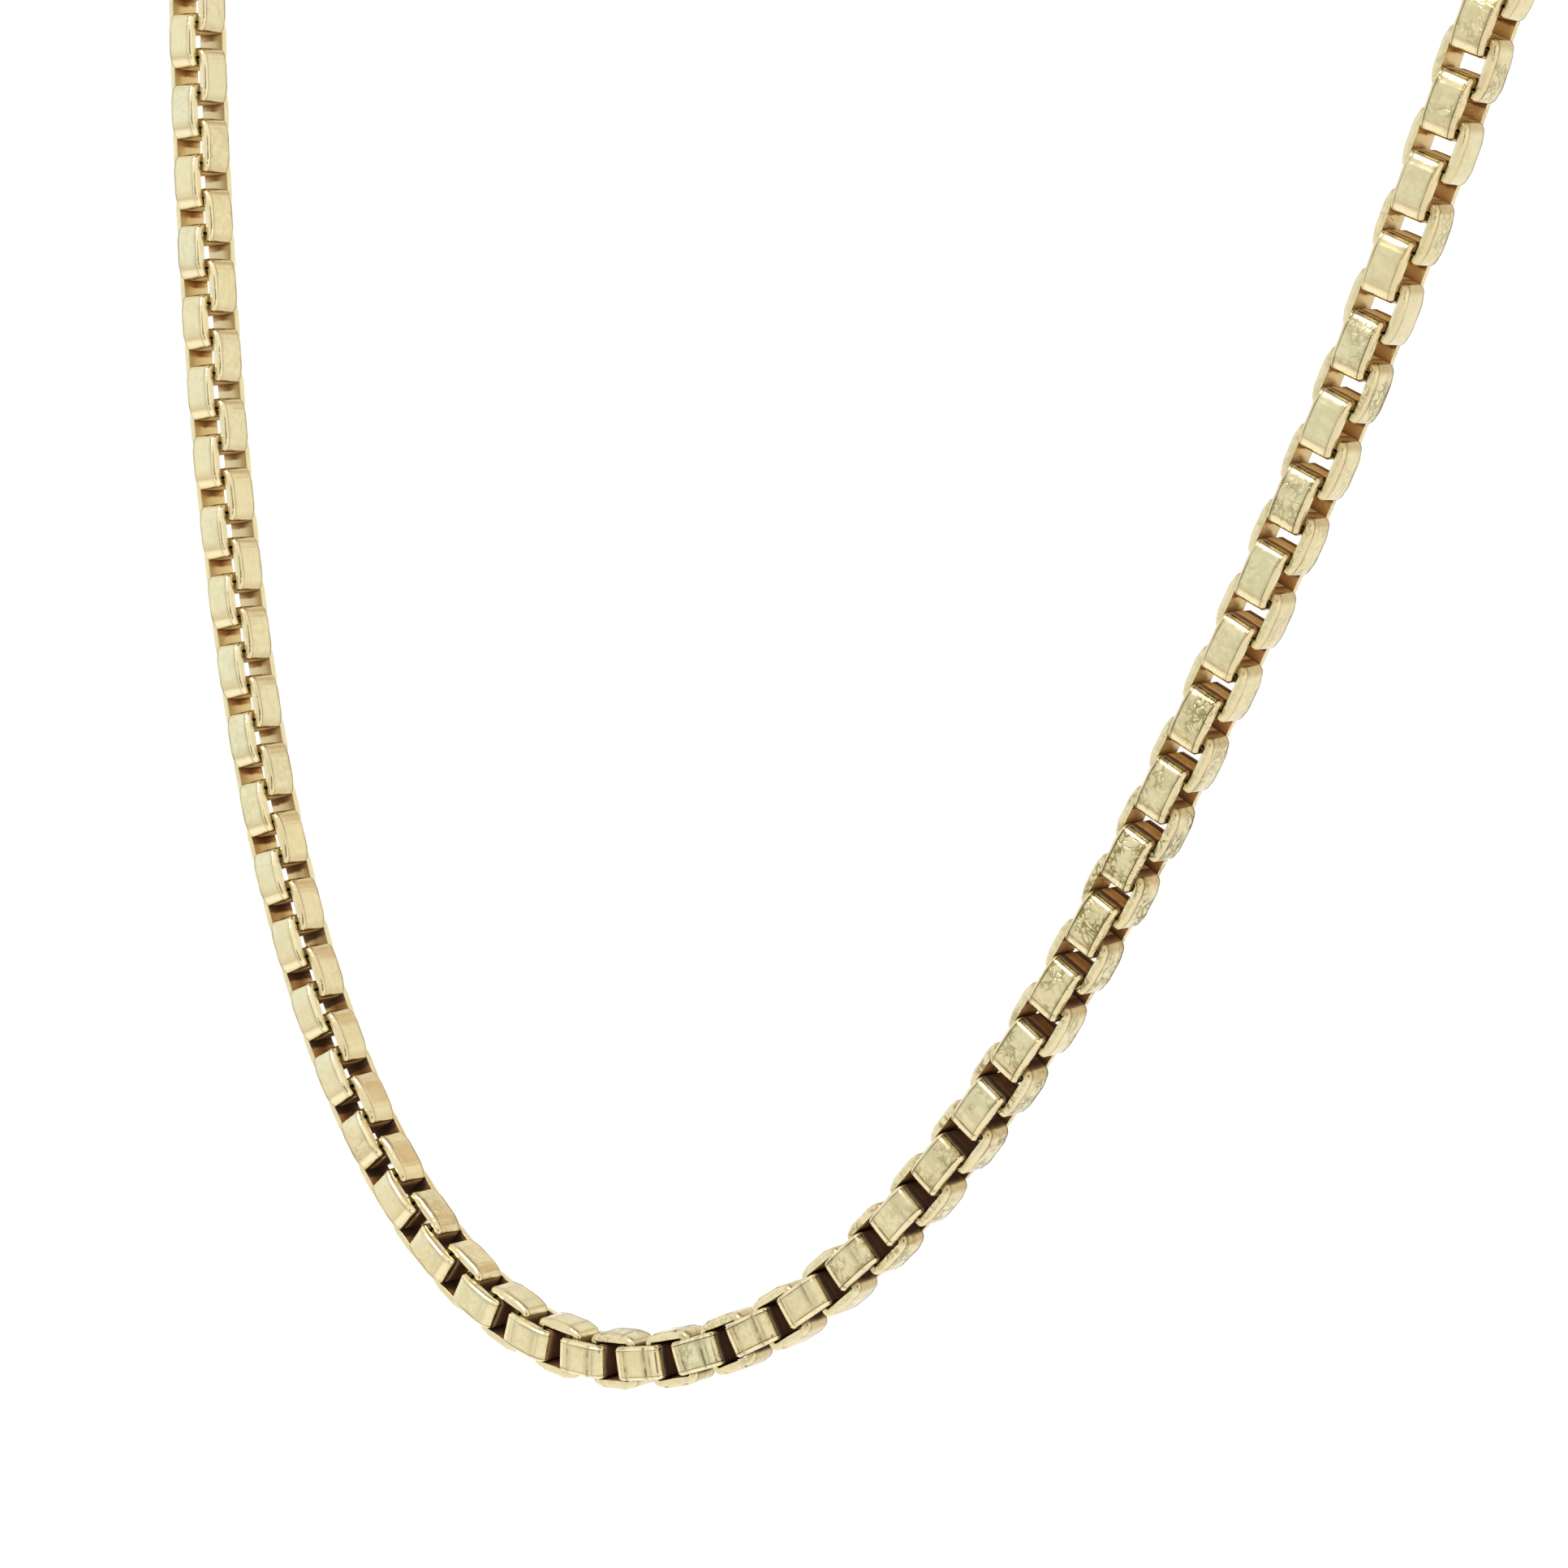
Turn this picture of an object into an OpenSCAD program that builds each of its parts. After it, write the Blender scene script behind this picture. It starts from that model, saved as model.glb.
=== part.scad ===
// Box chain worn as a necklace: square links bent from flat strip, each turned a quarter
// turn from the next, closed at the nape by two rings and a clasp.
// Millimetres, +Z up, the front at -Y. Origin at the middle of the clasp, on its face turned to
// the neck, where the chain sits on the nape.

/* [Link] */
// Width of the flat strip that a link is bent from
strip_w = 1.88; // [1.7:0.02:2]
// Thickness of the strip
strip_t = 0.47; // [0.4:0.01:0.55]
// Length of a link over its two end walls
link_len = 3.3; // [3.2:0.02:3.6]
// Clear length between the end walls of two linked links
play = 0.24; // [0.24:0.01:0.32]
// Clear space between a link's faces and the strip of the next link
side_gap = 0.2; // [0.18:0.01:0.3]
// Length of the flat panel in the middle of a face
panel_len = 1.5; // [1.2:0.1:2.2]
// How far a face falls from its panel to each bend
face_fall = 0.22; // [0.06:0.02:0.26]
// Outer radius of the bends
bend_r = 0.5; // [0.25:0.05:0.5]

/* [Drape] */
// How far the chain has slid round the neck towards +X
slide = 0.3; // [-2:0.1:2]
// Angle by which the face of the lowest link leans back from upright
lean = 11.5; // [0:0.5:30]

/* [Rings] */
// Diameter of the wire of an end ring
ring_wire = 0.9; // [0.7:0.05:1]
// Inner diameter of an end ring
ring_in = 3.6; // [3.4:0.1:4.4]
// Clear space where a ring hooks into a link or the clasp
hook_gap = 0.15; // [0.12:0.01:0.25]

/* [Clasp] */
// Distance from the centre of the clasp's eye to the centre of the claw's far bend
clasp_len = 12; // [10:0.5:15]
// Thickness of the claw
claw_wire = 1.8; // [1.4:0.1:2.2]
// Inner width of the claw
claw_in = 3.4; // [3:0.1:4.4]
// Thickness of the eye
eye_wire = 1.2; // [0.9:0.1:1.4]
// Inner diameter of the eye
eye_in = 1.9; // [1.7:0.1:2.4]
// How far the eye is sunk into the claw's near bend
eye_sink = 0.8; // [0.5:0.1:0.9]

/* [Hidden] */
// The chain's route at +X, from the lowest point of the drape up to the nape. It is mirrored at -X.
half_route = [
    [0, -115, -145.5],
    [8.5, -114.5, -143.5],
    [16, -113, -138.5],
    [22, -111.5, -131.5],
    [27.5, -109.5, -122],
    [32, -107, -112],
    [36.5, -104, -99],
    [41, -100, -83.5],
    [44.5, -96, -67],
    [48, -91, -48],
    [54, -79.5, -32.5],
    [57.5, -63.5, -21],
    [57, -44, -15],
    [49.5, -26.5, -9],
    [37, -12, -4],
    [19.5, -2.5, -1],
    [0, 1, 0.5]
];
// Samples on each span of the route, to measure its length
steps = 24;
// Fineness of the round surfaces
$fn = 48;
gold = [0.87, 0.82, 0.62];

function unit(v) = v / norm(v);

// The whole loop from the nape, down the -X side and up the +X side, as a closed cubic B-spline
last = len(half_route) - 1;
loop = concat(
    [half_route[last]],
    [for (i = [last - 1 : -1 : 0]) [-half_route[i].x, half_route[i].y, half_route[i].z]],
    [for (i = [1 : last - 1]) half_route[i]]
);
spans = len(loop);
function knot(i) = loop[(i + spans) % spans];
function place(a, b, c, d, u) =
    (a * pow(1 - u, 3) + b * (3 * pow(u, 3) - 6 * u * u + 4)
    + c * (1 + 3 * u + 3 * u * u - 3 * pow(u, 3)) + d * pow(u, 3)) / 6;
function slope(a, b, c, d, u) =
    (d * u * u - a * pow(1 - u, 2) + b * (3 * u * u - 4 * u) + c * (1 + 2 * u - 3 * u * u)) / 2;
function route(v) = let (i = floor(v)) place(knot(i - 1), knot(i), knot(i + 1), knot(i + 2), v - i);
function heading(v) =
    let (i = floor(v)) unit(slope(knot(i - 1), knot(i), knot(i + 1), knot(i + 2), v - i));

// Distance walked along the loop at each sample, against the spline's own parameter
samples = [for (k = [0 : spans * steps]) route(k / steps)];
strides = [for (k = [1 : spans * steps]) norm(samples[k] - samples[k - 1])];
distances = [for (k = 0, d = 0; k <= spans * steps; d = d + (k < spans * steps ? strides[k] : 0), k = k + 1)
    [d, k / steps]];
loop_len = distances[spans * steps][0];
function walked(d) = lookup(d < 0 ? d + loop_len : d > loop_len ? d - loop_len : d, distances);
function point(d) = route(walked(d));
function along(d) = heading(walked(d));

// The link's hollow holds the strip of the next link
hollow_h = strip_w + 2 * side_gap;
hollow_len = link_len - 2 * strip_t;
half_h = hollow_h / 2 + strip_t;
half_len = link_len / 2;

// How far an end ring lies beyond the middle of the end link, and two hooked eyes from each other
ring_r = (ring_in + ring_wire) / 2;
ring_reach = hollow_len / 2 + sqrt(pow(ring_in / 2 - hook_gap, 2) - pow(strip_w / 2, 2));
function hooked(inner, wire) = ring_r + (inner + wire) / 2 - (ring_wire + wire) / 2 - hook_gap;
eye_reach = hooked(eye_in, eye_wire);
claw_reach = hooked(claw_in, claw_wire);
clasp_span = eye_reach + clasp_len + claw_reach;

// The end links stand off the nape so far that their rings are one clasp apart
function ring_middle(d) = point(slide + d) - sign(d) * ring_reach * along(slide + d);
function stand_off(d, tries) =
    tries == 0 ? d : stand_off(d - (norm(ring_middle(-d) - ring_middle(d)) - clasp_span) / 2, tries - 1);
end_off = stand_off(clasp_span / 2 + ring_reach, 6);

// An odd number of links shares the rest of the loop
chain_len = loop_len - 2 * end_off;
links = 2 * round(chain_len / (hollow_len - play) / 2) + 1;
pitch = chain_len / (links - 1);
middle = (links - 1) / 2;
function stop(k) = slide + end_off + k * pitch;

// From the lowest link the faces turn with the route on either side, without twist
function untwisted(face, k) = let (t = along(stop(k))) unit(face - (face * t) * t);
lowest_face = untwisted([0, -cos(lean), sin(lean)], middle);
right_faces = [for (k = middle, f = lowest_face; k < links; k = k + 1, f = untwisted(f, k)) f];
left_faces = [for (k = middle, f = lowest_face; k >= 0; k = k - 1, f = untwisted(f, k)) f];
function face(k) = k < middle ? left_faces[middle - k] : right_faces[k - middle];

left_ring = ring_middle(end_off);
right_ring = ring_middle(-end_off);
clasp_line = unit(right_ring - left_ring);
clasp_up = let (f = face(0) + face(links - 1)) unit(f - (f * clasp_line) * clasp_line);
home = (left_ring + right_ring + cross(clasp_line, clasp_up) * claw_wire) / 2;

// Stands a piece at a point of the route, with its own x and y along the two given directions
module stand(at, x, y) {
    z = cross(x, y);
    to = at - home;
    multmatrix([
        [x.x, y.x, z.x, to.x],
        [x.y, y.y, z.y, to.y],
        [x.z, y.z, z.z, to.z]
    ]) children();
}

// The outline of a link: flat panels that fall to round bends and straight end walls
module link_outline() {
    corner = [half_len, half_h - face_fall];
    to_panel = unit([panel_len / 2, half_h] - corner);
    to_wall = [0, -1];
    half_angle = acos(to_panel * to_wall) / 2;
    centre = corner + unit(to_panel + to_wall) * bend_r / sin(half_angle);
    on_panel = corner + to_panel * bend_r / tan(half_angle);
    on_wall = corner + to_wall * bend_r / tan(half_angle);
    quarter = [on_wall, on_panel, [panel_len / 2, half_h]];
    polygon([
        for (p = quarter) p,
        for (i = [2 : -1 : 0]) [-quarter[i].x, quarter[i].y],
        for (p = quarter) -p,
        for (i = [2 : -1 : 0]) [quarter[i].x, -quarter[i].y]
    ]);
    for (x = [-1, 1], y = [-1, 1]) translate([x * centre.x, y * centre.y]) circle(bend_r);
}

module link() {
    linear_extrude(strip_w, center = true) difference() {
        link_outline();
        square([hollow_len, hollow_h], center = true);
    }
}

module chain() {
    color(gold) for (k = [0 : links - 1])
        stand(point(stop(k)), along(stop(k)), face(k)) rotate([90 * (k % 2), 0, 0]) link();
}

module ring(middle_at, k) {
    color(gold) stand(middle_at, along(stop(k)), cross(along(stop(k)), face(k)))
        rotate_extrude() translate([ring_r, 0]) circle(d = ring_wire);
}

module clasp() {
    claw_r = (claw_in + claw_wire) / 2;
    eye_r = (eye_in + eye_wire) / 2;
    claw_straight = clasp_len - (eye_in / 2 + eye_wire - eye_sink + claw_wire + claw_in / 2);
    color(gold) stand(left_ring + eye_reach * clasp_line, clasp_line, clasp_up) {
        rotate_extrude() translate([eye_r, 0]) circle(d = eye_wire);
        translate([clasp_len, 0, 0]) {
            rotate([0, 0, -90]) rotate_extrude(angle = 180) translate([claw_r, 0]) circle(d = claw_wire);
            for (y = [-1, 1]) translate([-claw_straight, y * claw_r, 0])
                rotate([0, 90, 0]) cylinder(claw_straight, d = claw_wire);
            translate([-claw_straight, 0, 0])
                rotate([0, 0, 90]) rotate_extrude(angle = 180) translate([claw_r, 0]) circle(d = claw_wire);
        }
    }
}

module end_ring_left() { ring(left_ring, 0); }
module end_ring_right() { ring(right_ring, links - 1); }

chain();
end_ring_left();
end_ring_right();
clasp();
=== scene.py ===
import math

import bmesh
import bpy
import numpy as np
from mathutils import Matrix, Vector
from mathutils.bvhtree import BVHTree


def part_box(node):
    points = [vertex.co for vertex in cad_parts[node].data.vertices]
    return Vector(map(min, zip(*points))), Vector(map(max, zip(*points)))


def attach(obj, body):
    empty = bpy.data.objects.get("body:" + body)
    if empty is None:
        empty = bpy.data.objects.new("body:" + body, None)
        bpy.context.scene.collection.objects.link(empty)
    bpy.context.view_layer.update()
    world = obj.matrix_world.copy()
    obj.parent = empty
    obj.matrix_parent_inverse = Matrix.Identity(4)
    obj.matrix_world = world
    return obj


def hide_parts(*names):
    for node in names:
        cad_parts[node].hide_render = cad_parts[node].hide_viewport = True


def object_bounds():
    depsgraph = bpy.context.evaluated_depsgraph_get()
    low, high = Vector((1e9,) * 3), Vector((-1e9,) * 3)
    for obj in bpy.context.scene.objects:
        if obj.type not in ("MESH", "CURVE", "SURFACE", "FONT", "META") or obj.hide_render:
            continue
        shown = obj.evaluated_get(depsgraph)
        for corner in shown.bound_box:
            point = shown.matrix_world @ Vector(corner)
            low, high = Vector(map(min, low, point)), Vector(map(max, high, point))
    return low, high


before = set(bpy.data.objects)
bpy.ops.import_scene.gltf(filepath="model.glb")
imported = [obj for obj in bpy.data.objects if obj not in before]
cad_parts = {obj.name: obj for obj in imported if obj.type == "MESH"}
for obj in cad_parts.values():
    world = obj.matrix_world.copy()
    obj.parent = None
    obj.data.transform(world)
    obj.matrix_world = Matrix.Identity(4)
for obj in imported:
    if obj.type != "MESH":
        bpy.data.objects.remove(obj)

# Box chain necklace in its worn drape. Each link is a strip of gold bent to a square ring, with
# burnished edges, a pressed panel on each face and its own small dents. The links stand where
# the solid ones do. Lengths are in millimetres until a mesh or a light is made.

MM = 0.001
SEED = 14
CAD_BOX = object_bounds()

# The camera stands above the drape, to its right, and looks down along it
CAMERA_AT = (156.95, -286.99, -15.70)
CAMERA_AZIMUTH = 38.87
CAMERA_ELEVATION = 21.85
LENS = 104.64
SENSOR = 36.0

# The link, over its faces, its end walls and its strip
LINK_HEIGHT = 3.22
LINK_LENGTH = 3.3
STRIP_WIDTH = 1.95
STRIP_THICKNESS = 0.52
# The flat panel on a face, and how far the face falls from there to the bends
PANEL_LENGTH = 1.5
FACE_FALL = 0.22
# The groove at each end of a panel, and its section: shares of its width from the panel's end, shares of its depth
GROOVE_WIDTH = 0.16
GROOVE_DEPTH = 0.014
GROOVE_SECTION = ((-0.5, 0), (-0.2, 0.7), (0.1, 1), (0.35, 0.6), (0.6, 0))
# The shallow line across each end of a face, by its distance from the middle, and its section in the same way
BAND_AT = 1.06
BAND_WIDTH = 0.22
BAND_DEPTH = 0.007
BAND_SECTION = ((-0.5, 0), (0, 1), (0.5, 0))
# How much nearer to the middle the inside's corners lie than those of the groove and of the line across
GROOVE_INSIDE = 0.9
BAND_INSIDE = 0.85
# The bends outside and inside, and into how many cuts each is divided
BEND_RADIUS = 0.5
INNER_BEND = 0.1
BEND_CUTS = 7
# The corners of the mesh between the panel's middle and its end, and between the end wall's middle and its bend
PANEL_CORNER = 0.5
WALL_CORNER = 0.3
# The edges of the strip outside and inside. The chamfer on an outer one: shares of its size in from the side,
# shares down from the face, how bright its painted highlight is, and how much of the fine line beside it it still
# has
OUTER_EDGE = 0.19
CHAMFER = ((1, 0, 0.5, 0.3), (0.84, 0.06, 0.9, 0), (0.44, 0.4, 1, 0), (0.07, 0.82, 0.7, 0), (0, 1, 0.1, 0))
INNER_EDGE = 0.035
INNER_EDGE_TURNS = (0, 45, 90)
INNER_EDGE_BRIGHT = 0.1
# The corners across a face, as shares of its flat part, and how far its sides lie below its middle
FACE_CORNERS = (-0.8, -0.28, 0.28, 0.8)
EDGE_CROWN = 0.012
# The fine line inside each outer edge, where the burnisher stopped: how much of it the corner beside it has, and
# how bright the painted highlight on its own corner is
LINE_WIDTH = 0.07
LINE_DEPTH = 0.012
BESIDE_LINE = 0.2
LINE_BRIGHT = 0.3

# A corner less deep than this lies on a face, with its grooves
FACE_DEPTH = OUTER_EDGE * 0.7
# How soon the marks of a groove and of a line across fade, in their own widths, and how softly those of an end
# wall and of a bend begin
GROOVE_FADE = 1.1
BAND_FADE = 2
WALL_FADE = 0.2
BEND_FADE = 0.12
# Where a corner of an end wall looks so far aside that it lies on the strip's side
WALL_SIDE = ((0.5, 0.8), (0, 1))

# How far a link turns and shifts in its play
LINK_TURN = math.radians(0.8)
LINK_SHIFT = 0.008
# The dents, of how many waves they are made, and how much less of them the bends have
DENT_DEPTH = 0.008
DENT_WIDTHS = (0.5, 1.6)
DENT_WAVES = 9
BEND_SPARED = 0.7
# Wear: each link's own, between these, and what is added along the chain. Here and below, a pair of lists gives the
# numbers of some links, counted from the left ring, and how much there is at each of them
OWN_WEAR = (0.25, 0.65)
WORN = ((92, 108, 122, 128, 142, 156, 176), (0.0, 0.08, 0.22, 0.45, 0.42, 0.25, 0.15))

# Residue in the hollows, with painted shade in it, as a share of the most
RESIDUE_AND_SHADE = ((74, 94, 105, 112, 129, 137, 146, 158), (0.2, 0.25, 0.85, 1.0, 0.95, 0.6, 0.4, 0.25))
# Its colour, from where a corner sees the least open air, darkest as painted shade, to where it sees the most
RESIDUE_AND_SHADE_TINTS = (
    (0.0, "48362A"), (0.2, "644630"), (0.32, "92663F"), (0.43, "C69658"), (0.54, "E4C484"), (0.75, "E8D6A0"),
)
# How much shorter the painted shadow at the top of each hollow is on the right strand
SHADOW_BAND_LOWER = 0.1
# How much more residue and painted shade lies behind the front plates of the right strand, how much less on its
# end walls, which are painted lighter, and how much at least on the sides of all end walls, as painted shade
BACK_RESIDUE_AND_SHADE = ((120, 132), (0.0, 0.28))
END_WALL_LIGHTER = ((131, 138), (0.0, 0.18))
WALL_SIDE_RESIDUE_AND_SHADE = 0.8
# End walls and their sides are painted darker as if they saw so much less open air, and bright ends lighter as if so
# much more
WALL_AIR = 0.4
WALL_SIDE_AIR = 0.35
BRIGHT_AIR = 0.4
# The pale colour painted behind the front plates of the left strand, standing for the clean gold's reflection:
# painted reflection
BACK_PALE_REFLECTION = ((90, 106), (1.0, 0.0))

# The tan on the faces, painted shade with some film of residue, by the distance from a link's middle: on the
# lower slope of a front plate, and on the upper and the lower bend of a side plate, on the left strand and on the
# right one
FRONT_FILM_AND_SHADE = ((0.7, 0.95, 1.06, 1.2), (0, 0.24, 0.24, 0))
SIDE_FILM_AND_SHADE_FROM = (1.1, 1.4)
SIDE_FILM_AND_SHADE = ((0.3, 0.32), (0.6, 0.0))
# It comes with the rise of the strand, and is full where that is steep
FILM_AND_SHADE_BY_RISE = (1.5, -0.2)
# The same tan on the edges along the chain, dulling their shine as painted shade, on side plates and on front ones
EDGE_FILM_AND_SHADE_AT = (80, 92, 112, 122, 130, 142, 156)
EDGE_FILM_AND_SHADE = ((0.0, 0.28, 0.28, 0.2, 0.2, 0.3, 0.36), (0.0, 0.0, 0.0, 0.0, 0.15, 0.3, 0.36))

# Which end of a plate gets the painted highlight: how much the left one does, by how much the chain rises to the
# right there
LEFT_BRIGHT = ((-0.5, -0.1), (0, 1))
# The painted highlight across that end of a front plate, by the distance from the link's middle, and how bright it
# is
END_RIM = ((1.12, 1.24, 1.44, 1.52), (0, 1, 1, 0))
END_RIM_BRIGHT = 0.85
# How dark the line across that end is painted: painted shade, partly residue
END_LINE = ((100, 116, 126, 131, 142, 158), (0.14, 0.25, 0.95, 0.95, 0.45, 0.2))
# The lowest link. Near it both ends of a front plate get the painted highlight, its grooves are painted dark, as
# shade with some residue, and so is the line across its right end: over how many links this fades out, how bright
# the end is and how dark the line
LOWEST = 119
LOWEST_REACH = 5
LOWEST_RIM = 0.8
LOWEST_LINE = 0.6
# Up the right strand the grooves on the right stay painted dark for longer: for how many links, how dark, and how
# dark a groove is at the least
GROOVES_REACH = 9
GROOVES_DARK = 0.9
GROOVES_LEAST = 0.05

CHAIN_PIECES = 5
# Rays that test how much open air a corner of a link sees, from how far off it they start and how far they go
AIR_RAYS = 40
AIR_START = 0.02
AIR_REACH = 4.0
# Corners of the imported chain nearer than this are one
WELD = 0.002


def camera():
    """The camera at the photograph's angle, with no shift"""
    azimuth, elevation = math.radians(CAMERA_AZIMUTH), math.radians(CAMERA_ELEVATION)
    ahead = Vector((
        -math.sin(azimuth) * math.cos(elevation),
        math.cos(azimuth) * math.cos(elevation),
        -math.sin(elevation),
    ))
    lens = bpy.data.cameras.new("camera")
    lens.lens = LENS
    lens.sensor_width = SENSOR
    lens.clip_start, lens.clip_end = 0.01, 20
    made = bpy.data.objects.new("camera", lens)
    made.location = Vector(CAMERA_AT) * MM
    made.rotation_euler = ahead.to_track_quat("-Z", "Y").to_euler()
    bpy.context.scene.collection.objects.link(made)
    bpy.context.scene.camera = made


# Where the links stand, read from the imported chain

def chain_links():
    """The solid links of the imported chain, each as its own corners, in millimetres"""
    mesh = bmesh.new()
    mesh.from_mesh(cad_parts["chain"].data)
    bmesh.ops.remove_doubles(mesh, verts=mesh.verts, dist=WELD * MM)
    mesh.verts.ensure_lookup_table()
    seen, links = set(), []
    for first in mesh.verts:
        if first.index in seen:
            continue
        seen.add(first.index)
        island, waiting = [], [first]
        while waiting:
            corner = waiting.pop()
            island.append(corner.co[:])
            for edge in corner.link_edges:
                other = edge.other_vert(corner)
                if other.index not in seen:
                    seen.add(other.index)
                    waiting.append(other)
        links.append(np.array(island) / MM)
    mesh.free()
    return links


def in_chain_order(links):
    """The links from the left ring round to the right one, each next to the last"""
    centres = np.array([link.mean(0) for link in links])
    low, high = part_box("end_ring_left")
    here = np.array((low + high) / 2) / MM
    left, order = set(range(len(links))), []
    while left:
        nearest = min(left, key=lambda i: np.linalg.norm(centres[i] - here))
        left.remove(nearest)
        order.append(nearest)
        here = centres[nearest]
    return [links[i] for i in order]


def link_places(links):
    """For each link its centre and its three directions: along the chain, over its faces, across its strip"""
    centres = np.array([link.mean(0) for link in links])
    places = []
    for i, link in enumerate(links):
        before, after = centres[max(i - 1, 0)], centres[min(i + 1, len(links) - 1)]
        across = np.linalg.svd(link - centres[i], full_matrices=False)[2][2]
        along = (after - before) - ((after - before) @ across) * across
        along /= np.linalg.norm(along)
        axes = np.array([along, np.cross(across, along), across])
        spread = (link - centres[i]) @ axes.T
        places.append((centres[i] + (spread.min(0) + spread.max(0)) / 2 @ axes, axes))
    return places


# The link as a mesh

def rounded(corners, radii, cuts):
    """A line through the corners, in which each one with a radius becomes an arc of so many cuts"""
    line = []
    for i, corner in enumerate(corners):
        if not radii[i]:
            line.append(corner)
            continue
        back, on = corners[i - 1] - corner, corners[i + 1] - corner
        back, on = back / np.linalg.norm(back), on / np.linalg.norm(on)
        half_angle = math.acos(np.clip(back @ on, -1, 1)) / 2
        reach = radii[i] / math.tan(half_angle)
        centre = corner + (back + on) / np.linalg.norm(back + on) * radii[i] / math.sin(half_angle)
        start, end = corner + back * reach - centre, corner + on * reach - centre
        turn = math.acos(np.clip(start @ end / radii[i] ** 2, -1, 1))
        for k in range(cuts[i] + 1):
            share = k / cuts[i]
            weights = math.sin((1 - share) * turn), math.sin(share * turn)
            line.append(centre + (start * weights[0] + end * weights[1]) / math.sin(turn))
    return np.array(line)


def quarter_outlines():
    """A quarter of the ring, from the middle of a face to the middle of an end wall: its outer and inner line"""
    top, end, panel = LINK_HEIGHT / 2, LINK_LENGTH / 2, PANEL_LENGTH / 2
    slope = FACE_FALL / (end - panel)
    groove, groove_dip = np.array(GROOVE_SECTION).T * [[GROOVE_WIDTH], [GROOVE_DEPTH]]
    band, band_dip = np.array(BAND_SECTION).T * [[BAND_WIDTH], [BAND_DEPTH]]
    groove, band = panel + groove, BAND_AT + band
    outer = [(0, top), (panel * PANEL_CORNER, top)]
    for x, dip in [*zip(groove, groove_dip), *zip(band, band_dip)]:
        outer.append((x, top - max(x - panel, 0) * slope - dip))
    outer += [(end, top - FACE_FALL), (end, top * WALL_CORNER), (end, 0)]
    inner_top, inner_end = top - STRIP_THICKNESS, end - STRIP_THICKNESS
    inner = [(0, inner_top), (panel * PANEL_CORNER * GROOVE_INSIDE, inner_top)]
    inner += [(x * GROOVE_INSIDE, inner_top) for x in groove]
    inner += [(x * BAND_INSIDE, inner_top) for x in band]
    inner += [(inner_end, inner_top), (inner_end, top * WALL_CORNER), (inner_end, 0)]
    before_bend = [0] * (len(outer) - 3)
    cuts = [*before_bend, BEND_CUTS, 0, 0]
    outer_line = rounded(np.array(outer), [*before_bend, BEND_RADIUS, 0, 0], cuts)
    inner_line = rounded(np.array(inner), [*before_bend, INNER_BEND, 0, 0], cuts)
    return outer_line, inner_line


def whole_ring(quarter):
    """The quarter mirrored to the whole ring, as one closed line"""
    half = np.concatenate([quarter[::-1] * [-1, 1], quarter[1:]])
    return np.concatenate([half, half[::-1][1:-1] * [1, -1]])


def strip_section():
    """The strip's section, for each point: its place across the strip, its depth as a share of the wall, its depth
    in millimetres beside that, how bright its painted highlight is and how much it lies on the line inside the edge"""
    half = STRIP_WIDTH / 2
    flat = half - OUTER_EDGE - LINE_WIDTH * 1.5
    face = [(place * flat, 0, EDGE_CROWN * place * place, 0, 0) for place in FACE_CORNERS]
    edge = [
        (flat + LINE_WIDTH / 2, 0, EDGE_CROWN, 0, BESIDE_LINE),
        (flat + LINE_WIDTH, 0, EDGE_CROWN + LINE_DEPTH, LINE_BRIGHT, 1),
    ]
    for back, down, bright, line in CHAMFER:
        edge.append((half - OUTER_EDGE * back, 0, EDGE_CROWN * 0.5 + OUTER_EDGE * down, bright, line))
    for angle in np.radians(INNER_EDGE_TURNS):
        back, up = INNER_EDGE * (1 - math.cos(angle)), INNER_EDGE * (1 - math.sin(angle))
        edge.append((half - back, 1, -up, INNER_EDGE_BRIGHT, 0))
    mirrored = [(-across, *rest) for across, *rest in reversed(edge)]
    return np.array(face + edge + [(0, 1, 0, 0, 0)] + mirrored)


def lengths_along(line):
    """How far each point of a closed line lies from its first one along it, and the length of the whole"""
    closed = np.vstack([line, line[:1]])
    return np.concatenate([[0], np.cumsum(np.linalg.norm(np.diff(closed, axis=0), axis=1))])


def link_shell():
    """One link: its corners, its outward directions, its quads, the strip's own coordinates at each corner of a
    quad, and its marks"""
    outer, inner = (whole_ring(line) for line in quarter_outlines())
    section = strip_section()
    stations, around = len(outer), len(section)
    inward = inner - outer
    wall = np.linalg.norm(inward, axis=1, keepdims=True)
    inward = inward / wall
    across, share, depth, bright, line = section.T
    deep = share[None, :] * wall + depth[None, :]
    corners = np.empty((stations, around, 3))
    corners[:, :, :2] = outer[:, None, :] + deep[:, :, None] * inward[:, None, :]
    corners[:, :, 2] = across[None, :]

    ahead = np.roll(corners, -1, 0) - np.roll(corners, 1, 0)
    aside = np.roll(corners, -1, 1) - np.roll(corners, 1, 1)
    outward = np.cross(aside, ahead)
    outward /= np.linalg.norm(outward, axis=2, keepdims=True)
    middle = stations // 4
    if outward[middle, 2] @ np.array([outer[middle][0], outer[middle][1], 0]) < 0:
        outward = -outward

    i, j = np.meshgrid(np.arange(stations), np.arange(around), indexing="ij")
    next_i, next_j = (i + 1) % stations, (j + 1) % around
    quads = np.stack([i * around + j, i * around + next_j, next_i * around + next_j, next_i * around + j], -1)
    run = lengths_along(outer)
    girth = lengths_along(np.stack([section[:, 0], section[:, 1] * STRIP_THICKNESS + section[:, 2]], -1))
    grid = np.stack([
        np.stack([run[i], girth[j]], -1),
        np.stack([run[i], girth[j + 1]], -1),
        np.stack([run[i + 1], girth[j + 1]], -1),
        np.stack([run[i + 1], girth[j]], -1),
    ], 2)
    marks = link_marks(corners, deep, bright, line)
    return corners.reshape(-1, 3), outward.reshape(-1, 3), quads.reshape(-1, 4), grid.reshape(-1, 4, 2), marks


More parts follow.
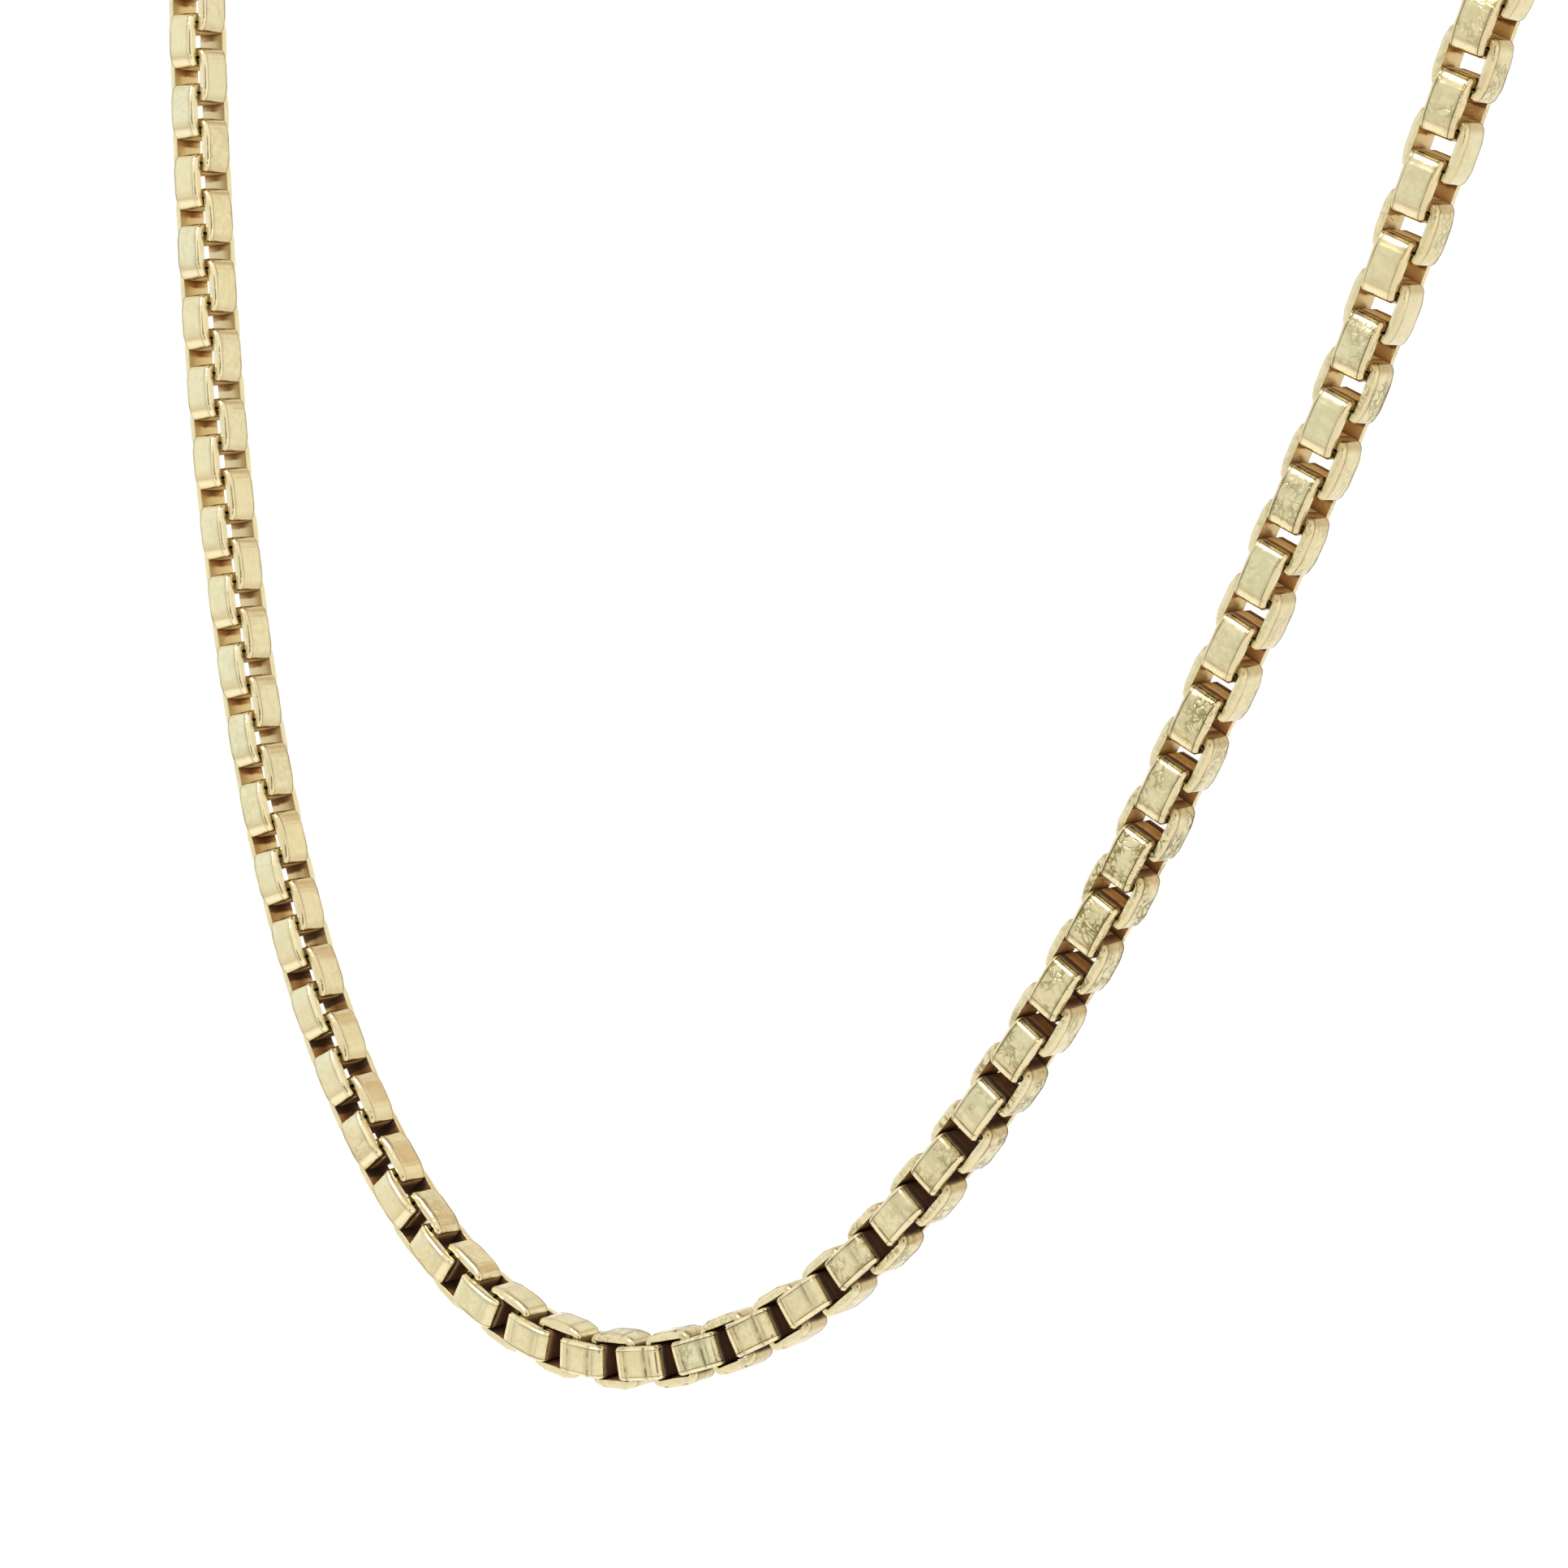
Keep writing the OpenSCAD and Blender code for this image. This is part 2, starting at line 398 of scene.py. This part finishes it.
def link_marks(corners, deep, bright, line):
    """At each corner how burnished the metal is, with its painted highlight, and whether it lies on the line inside
    the edge, in a groove, on the line across the face, on an end wall or on a bend"""
    burnish_and_highlight, lined = (np.broadcast_to(mark[None, :], deep.shape) for mark in (bright, line))
    from_middle, on_face = np.abs(corners[:, :, 0]), deep < FACE_DEPTH
    grooved = np.clip(1 - np.abs(from_middle - PANEL_LENGTH / 2) / GROOVE_WIDTH * GROOVE_FADE, 0, 1) * on_face
    banded = np.clip(1 - np.abs(from_middle - BAND_AT) / BAND_WIDTH * BAND_FADE, 0, 1) * on_face
    on_end = np.clip((from_middle - LINK_LENGTH / 2 + STRIP_THICKNESS) / WALL_FADE, 0, 1)
    end_wall = on_end * np.clip((BEND_RADIUS * 2 - np.abs(corners[:, :, 1])) / WALL_FADE, 0, 1)
    bent = np.clip((from_middle - LINK_LENGTH / 2 + BEND_RADIUS) / BEND_FADE, 0, 1)
    return [mark.ravel() for mark in (burnish_and_highlight, lined, grooved, banded, end_wall, bent)]


def open_air(corners, outward, quads, pitch):
    """How much open air each corner of a link sees past itself and the links on either side, from 0 to 1"""
    quarter_turn = np.array([[1, 0, 0], [0, 0, 1], [0, -1, 0]])
    points, faces = [], []
    for k in range(-2, 3):
        turned = corners @ quarter_turn if k % 2 else corners
        points.append(turned + [k * pitch, 0, 0])
        faces.append(quads + (k + 2) * len(corners))
    tree = BVHTree.FromPolygons(np.concatenate(points).tolist(), np.concatenate(faces).tolist())
    turns = np.arange(AIR_RAYS) * math.pi * (3 - math.sqrt(5))
    heights = np.sqrt(1 - (np.arange(AIR_RAYS) + 0.5) / AIR_RAYS)
    flat = np.sqrt(1 - heights ** 2)
    seen = []
    for corner, up in zip(corners, outward):
        side = np.cross(up, [1, 0, 0] if abs(up[0]) < 0.7 else [0, 1, 0])
        side /= np.linalg.norm(side)
        other = np.cross(up, side)
        start = Vector(corner + up * AIR_START)
        free = 0
        for turn, height, wide in zip(turns, heights, flat):
            ray = Vector(side * math.cos(turn) * wide + other * math.sin(turn) * wide + up * height)
            free += tree.ray_cast(start, ray, AIR_REACH)[0] is None
        seen.append(free / AIR_RAYS)
    return np.array(seen)


def dents(points, draw):
    """Shallow waves of random direction and width that cross at each point, for the dents of wear"""
    depth = np.zeros(len(points))
    for _ in range(DENT_WAVES):
        direction = draw.normal(size=3)
        direction /= np.linalg.norm(direction)
        width = draw.uniform(*DENT_WIDTHS)
        depth += np.sin(points @ direction * (2 * math.pi / width) + draw.uniform(0, 2 * math.pi))
    return depth / math.sqrt(DENT_WAVES)


def small_turn(draw):
    """A small random turn of a link in its play"""
    x, y, z = draw.normal(size=3) * LINK_TURN / 2
    return np.array([[1, -z, y], [z, 1, -x], [-y, x, 1]])


def link_looks(number, rise, corners, outward, air, marks):
    """What the gold shows at each corner of a link, by the link's number from the left ring and by how much the
    chain rises to the right there"""
    burnish_and_highlight, lined, grooved, banded, end_wall, bent = marks
    along, right = corners[:, 0], corners[:, 0] > 0
    front = number % 2 == 0
    lowest = math.exp(-((number - LOWEST) / LOWEST_REACH) ** 2)
    after = math.exp(-((number - LOWEST) / GROOVES_REACH) ** 2) * front * (number > LOWEST) * right

    # Painted highlight on one end of each front plate, picked by which way the chain rises
    left_bright = np.interp(rise, *LEFT_BRIGHT)
    bright_end = np.where(along < 0, left_bright, 1 - left_bright) * (front or rise > 0)
    highlight_rim = np.maximum(bright_end, LOWEST_RIM * lowest * front) * front * np.interp(np.abs(along), *END_RIM)
    # Grooves and the line across an end painted dark: painted shade in the creases, partly residue
    groove_darkness = np.maximum(GROOVES_LEAST + (1 - GROOVES_LEAST) * lowest, GROOVES_DARK * after)
    band_darkness = np.maximum(bright_end * np.interp(number, *END_LINE), LOWEST_LINE * lowest * right) * front

    # Residue and painted shade in the hollows: more behind right-strand front plates and on the sides of end walls,
    # less on end walls there
    wall_side = end_wall * np.interp(np.abs(outward[:, 2]), *WALL_SIDE)
    behind = np.interp(number, *BACK_RESIDUE_AND_SHADE) * front * (1 - end_wall)
    residue_and_shade = np.interp(number, *RESIDUE_AND_SHADE) + behind - np.interp(number, *END_WALL_LIGHTER) * end_wall
    shaded = 1 - WALL_AIR * end_wall - WALL_SIDE_AIR * wall_side
    # Height up the rising chain, which places the painted shadow at the top of each hollow
    height = along * rise - SHADOW_BAND_LOWER * (rise > 0)

    # Tan painted shade, with some film, at one end of each plate, by which way the strand rises
    downhill = -along * math.copysign(1, rise)
    if front:
        film_and_shade = np.interp(downhill, *FRONT_FILM_AND_SHADE)
    else:
        upper, lower = SIDE_FILM_AND_SHADE[int(rise > 0)]
        film_and_shade = np.interp(-downhill, SIDE_FILM_AND_SHADE_FROM, (0, upper)) + np.interp(downhill, SIDE_FILM_AND_SHADE_FROM, (0, lower))
    film_and_shade = film_and_shade * np.clip(np.polyval(FILM_AND_SHADE_BY_RISE, abs(rise)), 0, 1)
    return {
        "burnish_and_highlight": np.maximum(burnish_and_highlight, END_RIM_BRIGHT * highlight_rim),
        "edge_line": lined,
        "grooved": np.maximum(grooved * groove_darkness, banded * band_darkness),
        "bent": bent,
        "uphill": height * (1 - end_wall),
        "residue_and_shade": np.clip(np.maximum(residue_and_shade, WALL_SIDE_RESIDUE_AND_SHADE * wall_side), 0, 1),
        "open_air": air * shaded + BRIGHT_AIR * bent * (1 - end_wall) * bright_end,
        "film_and_shade": np.maximum(film_and_shade, burnish_and_highlight * np.interp(number, EDGE_FILM_AND_SHADE_AT, EDGE_FILM_AND_SHADE[int(front)])),
        "pale_reflection": np.full(len(corners), np.interp(number, *BACK_PALE_REFLECTION) * front),
        "end_wall": end_wall,
    }


def chain_piece(name, places, first, shell, air, draw, material):
    """One run of the chain: a copy of the link at each place, turned and dented by itself"""
    corners, outward, quads, grid, marks = shell
    count, bent = len(corners), marks[-1]
    points, looks = [], []
    for k, (centre, axes) in enumerate(places):
        worn = min(draw.uniform(*OWN_WEAR) + np.interp(first + k, *WORN), 1)
        dent = dents(corners, draw) * (1 - BEND_SPARED * bent) * DENT_DEPTH * worn
        dented = corners + outward * dent[:, None]
        shifted = dented @ small_turn(draw).T + draw.normal(size=3) * LINK_SHIFT / 2
        points.append(centre + shifted @ axes)
        look = link_looks(first + k, axes[0][2], corners, outward, air, marks)
        look["tone"] = np.full(count, draw.uniform(0, 1))
        look["wear"] = np.full(count, worn)
        looks.append(look)
    faces = np.concatenate([quads + k * count for k in range(len(places))])
    mesh = bpy.data.meshes.new(name)
    mesh.from_pydata((np.concatenate(points) * MM).tolist(), [], faces.tolist())
    strip = mesh.uv_layers.new(name="strip")
    strip.data.foreach_set("uv", np.tile(grid.ravel(), len(places)))
    for title in looks[0]:
        values = np.concatenate([look[title] for look in looks])
        mesh.attributes.new(title, "FLOAT", "POINT").data.foreach_set("value", values.astype(np.float32))
    mesh.shade_smooth()
    mesh.update()
    mesh.materials.append(material)
    made = bpy.data.objects.new(name, mesh)
    bpy.context.scene.collection.objects.link(made)
    return made


# Materials

def linear(colour):
    """The linear colour of an sRGB hex value"""
    parts = [int(colour[i:i + 2], 16) / 255 for i in (0, 2, 4)]
    return [p / 12.92 if p <= 0.04045 else ((p + 0.055) / 1.055) ** 2.4 for p in parts] + [1.0]


def node(tree, kind, inputs=None, **settings):
    """Adds a node with its settings, and its inputs as values or as the sockets that feed them"""
    made = tree.nodes.new(kind)
    for name, value in settings.items():
        setattr(made, name, value)
    for name, value in (inputs or {}).items():
        if isinstance(value, bpy.types.NodeSocket):
            tree.links.new(value, made.inputs[name])
        else:
            made.inputs[name].default_value = value
    return made


def new_material(name):
    """A material with nothing in it yet but its output"""
    made = bpy.data.materials.new(name)
    made.use_nodes = True
    made.node_tree.nodes.clear()
    return made, made.node_tree


def maths(tree, operation, *values, **settings):
    """The result of a sum on numbers or sockets"""
    return node(tree, "ShaderNodeMath", dict(enumerate(values)), operation=operation, **settings).outputs["Value"]


def moved(tree, value, start, end, at_start, at_end, **settings):
    """A value moved from one range to another, and held at its ends"""
    return node(tree, "ShaderNodeMapRange", {
        "Value": value, "From Min": start, "From Max": end, "To Min": at_start, "To Max": at_end,
    }, **settings).outputs["Result"]


def blended(tree, share, first, second):
    """A colour with so much of a second one over it"""
    return node(tree, "ShaderNodeMix", {"Factor": share, "A": first, "B": second}, data_type="RGBA").outputs[2]


def blended_values(tree, share, first, second):
    """A value with so much of a second one in it"""
    made = node(tree, "ShaderNodeMix", {"Factor": share, "A": first, "B": second}, data_type="FLOAT")
    return made.outputs["Result"]


def noise(tree, place, width, detail, output="Fac", **inputs):
    """A soft random pattern, so many millimetres wide"""
    inputs = {"Vector": place, "Scale": 1 / (width * MM), "Detail": detail, **inputs}
    return node(tree, "ShaderNodeTexNoise", inputs).outputs[output]


def painted(tree, *titles):
    """The values that the mesh carries under these names"""
    return [node(tree, "ShaderNodeAttribute", attribute_name=title).outputs["Fac"] for title in titles]


def crackled(tree, place):
    """Fields about 0.5 mm wide with soft lines between them"""
    wander = noise(tree, place, 0.45, 0.5, "Color")
    wandered = node(tree, "ShaderNodeVectorMath", {0: wander, 1: (MM, MM, MM), 2: place}, operation="MULTIPLY_ADD")
    to_line = node(tree, "ShaderNodeTexVoronoi", {
        "Vector": wandered.outputs["Vector"], "Scale": 1 / (0.55 * MM),
    }, feature="DISTANCE_TO_EDGE").outputs["Distance"]
    return moved(tree, to_line, 0.0, 0.2, 1.0, 0.0, interpolation_type="SMOOTHSTEP")


def bare_gold(tree, dings, broken, drawn, clouds, much, highlight_rim):
    """The colour of the chain's gold outside its hollows"""
    tone, wear, film_and_shade, edge_line, grooved = painted(tree, "tone", "wear", "film_and_shade", "edge_line", "grooved")
    pale = blended(tree, tone, linear("E4D6A9"), linear("E1D8B1"))
    mottled = maths(tree, "MULTIPLY", moved(tree, dings, 0.36, 0.58, 0.34, 0.0), wear)
    dinged = blended(tree, mottled, pale, linear("B3A571"))
    face = blended(tree, broken, dinged, linear("867C4A"))
    lined = blended(tree, moved(tree, drawn, 0.3, 0.5, 0.06, 0.0), face, linear("A8935C"))
    # Burnished edges and the bright ends of front plates painted paler: painted highlight
    highlighted = blended(tree, highlight_rim, lined, linear("F8EAC0"))
    # Tan on slopes, bends and edges, at the end that the strand's rise picks: painted shade, with some film crept
    # from the hollows
    film_shaded = blended(tree, film_and_shade, highlighted, linear("AE8E5B"))
    # Darker colour in the lines inside the edges, wider and fuller on worn links, and in the grooves: painted shade
    # in these creases, partly dirt
    wider = maths(tree, "MULTIPLY", edge_line, maths(tree, "ADD", much, 1.0), use_clamp=True)
    how_dark = maths(tree, "MULTIPLY_ADD", much, 0.3, moved(tree, clouds, 0.36, 0.6, 0.45, 0.95))
    in_lines = maths(tree, "MULTIPLY", wider, how_dark)
    in_grooves = maths(tree, "MULTIPLY", grooved, moved(tree, dings, 0.36, 0.6, 0.4, 1.1))
    lines_darkened = maths(tree, "MAXIMUM", in_lines, in_grooves, use_clamp=True)
    return blended(tree, lines_darkened, film_shaded, linear("6A5A32"))


def residue_and_painted_shade(tree, dings):
    """The residue in the chain's hollows, with painted shade in it: its colour, how much it hides of the gold's
    colour and of its shine
    """
    residue_and_shade, air, end_wall, uphill, pale_reflection = painted(tree, "residue_and_shade", "open_air", "end_wall", "uphill", "pale_reflection")
    # Less open air, more residue and painted shade: first an ochre film, then browns
    clean_and_lit = maths(tree, "SUBTRACT", 1.0, residue_and_shade)
    let_in = maths(tree, "MULTIPLY_ADD", clean_and_lit, 0.4, 0.6)
    opened = maths(tree, "MULTIPLY_ADD", clean_and_lit, 0.47, maths(tree, "MULTIPLY", air, let_in))
    closed_in = moved(tree, air, 0.3, 0.68, 1.0, 0.0, interpolation_type="SMOOTHSTEP")
    film_and_shade = maths(tree, "MAXIMUM", closed_in, maths(tree, "MULTIPLY", end_wall, 0.85))
    # Painted shadow: darker in the upper half of each hollow, under the link above, down to a ragged edge
    ragged = maths(tree, "MULTIPLY_ADD", dings, 0.14, uphill)
    shadow_band = moved(tree, ragged, 0.05, 0.25, 0.06, -0.22, interpolation_type="SMOOTHSTEP")
    thin_and_lit = maths(tree, "ADD", opened, shadow_band)
    browns = node(tree, "ShaderNodeValToRGB", {"Fac": thin_and_lit})
    stops = browns.color_ramp.elements
    for place_on_ramp, _ in RESIDUE_AND_SHADE_TINTS[1:-1]:
        stops.new(place_on_ramp)
    for stop, (place_on_ramp, tint) in zip(stops, RESIDUE_AND_SHADE_TINTS):
        stop.position, stop.color = place_on_ramp, linear(tint)
    # Behind the left strand's front plates the lower half is painted pale: a painted reflection of clean gold
    reflection_share = moved(tree, thin_and_lit, 0.34, 0.5, 0.15, 0.85, interpolation_type="SMOOTHSTEP")
    colour = blended(tree, maths(tree, "MULTIPLY", pale_reflection, reflection_share), browns.outputs["Color"], linear("E4D5A6"))
    matt = maths(tree, "MAXIMUM", moved(tree, thin_and_lit, 0.34, 0.56, 1.0, 0.35), end_wall)
    return colour, film_and_shade, maths(tree, "MULTIPLY", film_and_shade, matt)


def rolled_gold():
    """14 karat yellow gold, rolled to strip, bent and tumbled: a pale satin face with fine lines along the strip,
    mottled by dings and crackled where it has rubbed, paler on the burnished edges as painted highlight, and
    brown in the grooves and hollows, where polish and dust have set and where shade is painted"""
    material, tree = new_material("gold_14k_rolled_and_tumbled")
    place = node(tree, "ShaderNodeTexCoord").outputs["Object"]
    strip = node(tree, "ShaderNodeUVMap", uv_map="strip").outputs["UV"]
    burnish_and_highlight, bent, wear = painted(tree, "burnish_and_highlight", "bent", "wear")

    # Tumbling leaves soft dings about 0.6 mm wide
    dings = noise(tree, place, 0.6, 0.0, Distortion=1.2)
    # Lines that the rolls draw along the strip, about 0.2 mm apart so that they show
    stretched = node(tree, "ShaderNodeVectorMath", {0: strip, 1: (0.4, 5.0, 1.0)}, operation="MULTIPLY")
    drawn = node(tree, "ShaderNodeTexNoise", {
        "Vector": stretched.outputs["Vector"], "Scale": 1.0, "Detail": 1.0,
    }).outputs["Fac"]
    # Clouds of handling wear, one or two to a link face
    clouds = noise(tree, place, 1.4, 2.0)
    # Rubbing against clothes and skin breaks the face of the most worn links into fields with dull lines between
    much = moved(tree, wear, 0.6, 1.0, 0.0, 1.0)
    rubbed = maths(tree, "MULTIPLY", much, moved(tree, clouds, 0.44, 0.56, 0.0, 1.0))
    broken = maths(tree, "MULTIPLY", crackled(tree, place), rubbed)

    highlight_rim = maths(tree, "MULTIPLY", burnish_and_highlight, 0.85)
    gold = bare_gold(tree, dings, broken, drawn, clouds, much, highlight_rim)
    brown, film_and_shade, covered = residue_and_painted_shade(tree, dings)
    # The residue with its painted shade lies over the gold
    colour = blended(tree, film_and_shade, gold, brown)

    # A satin face, smoother edges, bends that have rubbed smooth, and matt residue
    smooth = maths(tree, "MAXIMUM", highlight_rim, bent)
    polished = blended_values(tree, smooth, moved(tree, clouds, 0.3, 0.7, 0.16, 0.28), 0.15)
    rough = blended_values(tree, covered, polished, 0.5)
    open_face = moved(tree, bent, 0.0, 1.0, 1.0, 0.15)
    pressed = maths(tree, "MULTIPLY_ADD", broken, -2.4, dings)
    depth = maths(tree, "MULTIPLY", pressed, maths(tree, "MULTIPLY", wear, open_face))
    soft = node(tree, "ShaderNodeBump", {"Height": depth, "Strength": 0.35, "Distance": 0.05 * MM})
    scored = maths(tree, "MULTIPLY", drawn, open_face)
    fine = node(tree, "ShaderNodeBump", {
        "Height": scored, "Strength": 0.1, "Distance": 0.005 * MM, "Normal": soft.outputs["Normal"],
    })
    metal = node(tree, "ShaderNodeBsdfPrincipled", {
        "Base Color": colour, "Metallic": maths(tree, "SUBTRACT", 1.0, covered), "Roughness": rough,
        "Specular IOR Level": 0.0, "Normal": fine.outputs["Normal"],
    })
    node(tree, "ShaderNodeOutputMaterial", {"Surface": metal.outputs["BSDF"]})
    return material


def polished_gold():
    """14 karat yellow gold, cast and polished by hand: brighter and yellower than the chain, with soft waves of
    the polishing cloth"""
    material, tree = new_material("gold_14k_cast_and_polished")
    place = node(tree, "ShaderNodeTexCoord").outputs["Object"]
    waves = noise(tree, place, 1.1, 2.0)
    hairlines = noise(tree, place, 0.12, 3.0, Roughness=0.6)
    bump = node(tree, "ShaderNodeBump", {"Height": hairlines, "Strength": 0.3, "Distance": 0.008 * MM})
    metal = node(tree, "ShaderNodeBsdfPrincipled", {
        "Base Color": blended(tree, waves, linear("E4D39C"), linear("E0D6A6")), "Metallic": 1.0,
        "Roughness": moved(tree, hairlines, 0.3, 0.7, 0.12, 0.24), "Normal": bump.outputs["Normal"],
    })
    node(tree, "ShaderNodeOutputMaterial", {"Surface": metal.outputs["BSDF"]})
    return material


def white_acrylic():
    """Matt white acrylic, lit from below as a light table is, so that it shows as plain white with no shadow"""
    material, tree = new_material("acrylic_white_lit_from_below")
    matt = node(tree, "ShaderNodeBsdfPrincipled", {
        "Base Color": linear("969594"), "Roughness": 0.9, "Specular IOR Level": 0.0,
        "Emission Color": linear("FFFFFF"), "Emission Strength": 0.82,
    })
    node(tree, "ShaderNodeOutputMaterial", {"Surface": matt.outputs["BSDF"]})
    return material


# The stage

FLOOR_BELOW = 300
FLOOR_SIZE = 3800

# The light tent is white all round, with soft patches in it: the azimuth and elevation of each one's middle, the
# angles from there where it is full and where it ends, and its colour
TENT_WHITE = (1.05, 1.02, 0.98)
TENT_PATCHES = (
    # Cool daylight from the left, duller towards the front
    (-25, 0, 14, 50, (0.96, 0.98, 0.97)),
    (-62, 6, 8, 34, (1.12, 1.18, 1.26)),
    # A bright wall on the right
    (82, -8, 14, 42, (1.25, 1.2, 1.1)),
    # Warm light behind on the right, and the tent's tan seam above it
    (150, -2, 16, 46, (1.1, 1.08, 1.04)),
    (163, 30, 4, 18, (0.86, 0.7, 0.56)),
    # The opening in the tent's roof
    (180, 76, 12, 36, (0.42, 0.33, 0.25)),
    # The opening that the camera looks through
    (39, 17, 5, 17, (0.22, 0.2, 0.17)),
)


def floor():
    """A plain white floor well below the drape"""
    low, high = CAD_BOX
    half = FLOOR_SIZE * MM / 2
    z = low.z - FLOOR_BELOW * MM
    mesh = bpy.data.meshes.new("floor")
    mesh.from_pydata([(-half, -half, z), (half, -half, z), (half, half, z), (-half, half, z)], [], [(0, 1, 2, 3)])
    mesh.materials.append(white_acrylic())
    made = bpy.data.objects.new("floor", mesh)
    bpy.context.scene.collection.objects.link(made)


def tent_light():
    """The white light tent with its patches"""
    world = bpy.data.worlds.new("light_tent")
    world.use_nodes = True
    tree = world.node_tree
    tree.nodes.clear()
    direction = node(tree, "ShaderNodeTexCoord").outputs["Generated"]
    colour = node(tree, "ShaderNodeRGB").outputs["Color"]
    colour.default_value = (*TENT_WHITE, 1)
    for azimuth, elevation, full, end, tint in TENT_PATCHES:
        turn, rise = math.radians(azimuth), math.radians(elevation)
        middle = (math.sin(turn) * math.cos(rise), -math.cos(turn) * math.cos(rise), math.sin(rise))
        towards = node(tree, "ShaderNodeVectorMath", {0: direction, 1: middle}, operation="DOT_PRODUCT")
        share = node(tree, "ShaderNodeMapRange", {
            "Value": towards.outputs["Value"],
            "From Min": math.cos(math.radians(end)), "From Max": math.cos(math.radians(full)),
        }, interpolation_type="SMOOTHSTEP").outputs["Result"]
        colour = node(tree, "ShaderNodeMix", {
            "Factor": share, "A": colour, "B": (*tint, 1),
        }, data_type="RGBA").outputs[2]
    light = node(tree, "ShaderNodeBackground", {"Color": colour, "Strength": 1.0})
    node(tree, "ShaderNodeOutputWorld", {"Surface": light.outputs["Background"]})
    bpy.context.scene.world = world


def softbox(name, at, aim, size, radiance):
    """A soft square light, placed and aimed in millimetres, as bright as its radiance says"""
    lamp = bpy.data.lights.new(name, "AREA")
    lamp.shape = "SQUARE"
    lamp.size = size * MM
    lamp.energy = radiance * math.pi * lamp.size ** 2
    made = bpy.data.objects.new(name, lamp)
    made.location = Vector(at) * MM
    made.rotation_euler = (Vector(aim) - Vector(at)).to_track_quat("-Z", "Y").to_euler()
    made.visible_camera = False
    bpy.context.scene.collection.objects.link(made)


def stage():
    """The floor, the light tent, one softbox and a plain view of the colours"""
    floor()
    tent_light()
    softbox("softbox_front", (-81, -431, 410), (0, -100, -75), 260, 5.6)
    view = bpy.context.scene.view_settings
    view.view_transform = "Standard"
    view.look = "None"


def dress_chain():
    """The links in a few runs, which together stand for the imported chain"""
    places = link_places(in_chain_order(chain_links()))
    shell = link_shell()
    pitch = np.linalg.norm(places[len(places) // 2][0] - places[len(places) // 2 + 1][0])
    air = open_air(*shell[:3], pitch)
    draw = np.random.default_rng(SEED)
    material = rolled_gold()
    stops = np.linspace(0, len(places), CHAIN_PIECES + 1).round().astype(int)
    for k in range(CHAIN_PIECES):
        run = chain_piece(
            f"chain_run_{k + 1}", places[stops[k]:stops[k + 1]], stops[k], shell, air, draw, material)
        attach(run, "root")
        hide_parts("chain")


def dress_findings():
    """The rings and the clasp keep their solid shapes, polished"""
    material = polished_gold()
    for name in ("end_ring_left", "end_ring_right", "clasp"):
        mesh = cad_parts[name].data
        mesh.materials.clear()
        mesh.materials.append(material)


camera()
stage()
dress_chain()
dress_findings()
